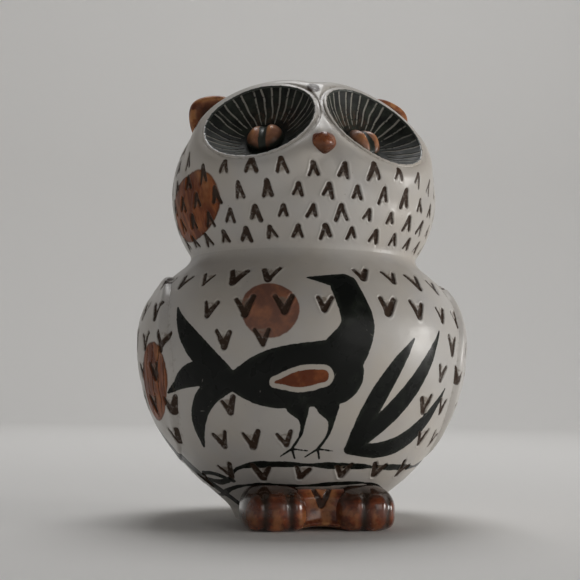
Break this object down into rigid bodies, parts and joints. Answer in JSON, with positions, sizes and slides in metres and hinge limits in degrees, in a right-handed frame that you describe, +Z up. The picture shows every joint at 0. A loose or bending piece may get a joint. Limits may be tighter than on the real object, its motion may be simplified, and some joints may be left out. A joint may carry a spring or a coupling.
{
  "type": "owl figurine",
  "caption": "Plump standing owl figurine in painted stoneware: round head on a round body, sunken dish eyes, small ears, blunt beak, side wings and short toed feet.",
  "frame": {"origin": "centre of the footprint on the table, at the underside", "axes": "+Z up through the head, -Y the way the owl faces, +X towards the wing on a viewer's right"},
  "size_m": [0.1134, 0.1034, 0.1502],
  "materials": {
    "white_glaze": "off-white satin glaze with stamped brown marks and painted decoration",
    "dark_glaze": "satin green-black glaze with fine scratched lines",
    "rim_glaze": "off-white satin glaze worn thin on the rim",
    "orange_glaze": "glossy orange-brown glaze, darker in the grooves",
    "raw_clay": "unglazed buff stoneware, slightly rough"
  },
  "bodies": {
    "root": {"body_shell": "white_glaze", "head_shell": "white_glaze", "base_plate": "raw_clay", "eye_dish_left": "dark_glaze", "eye_dish_right": "dark_glaze", "eye_rim_left": "rim_glaze", "eye_rim_right": "rim_glaze", "pupil_left": "orange_glaze", "pupil_right": "orange_glaze", "beak": "orange_glaze", "ear_left": "orange_glaze", "ear_right": "orange_glaze", "wing_left": "white_glaze", "wing_right": "white_glaze", "foot_left": "orange_glaze", "foot_right": "orange_glaze", "foot_web": "orange_glaze"}
  },
  "joints": []
}
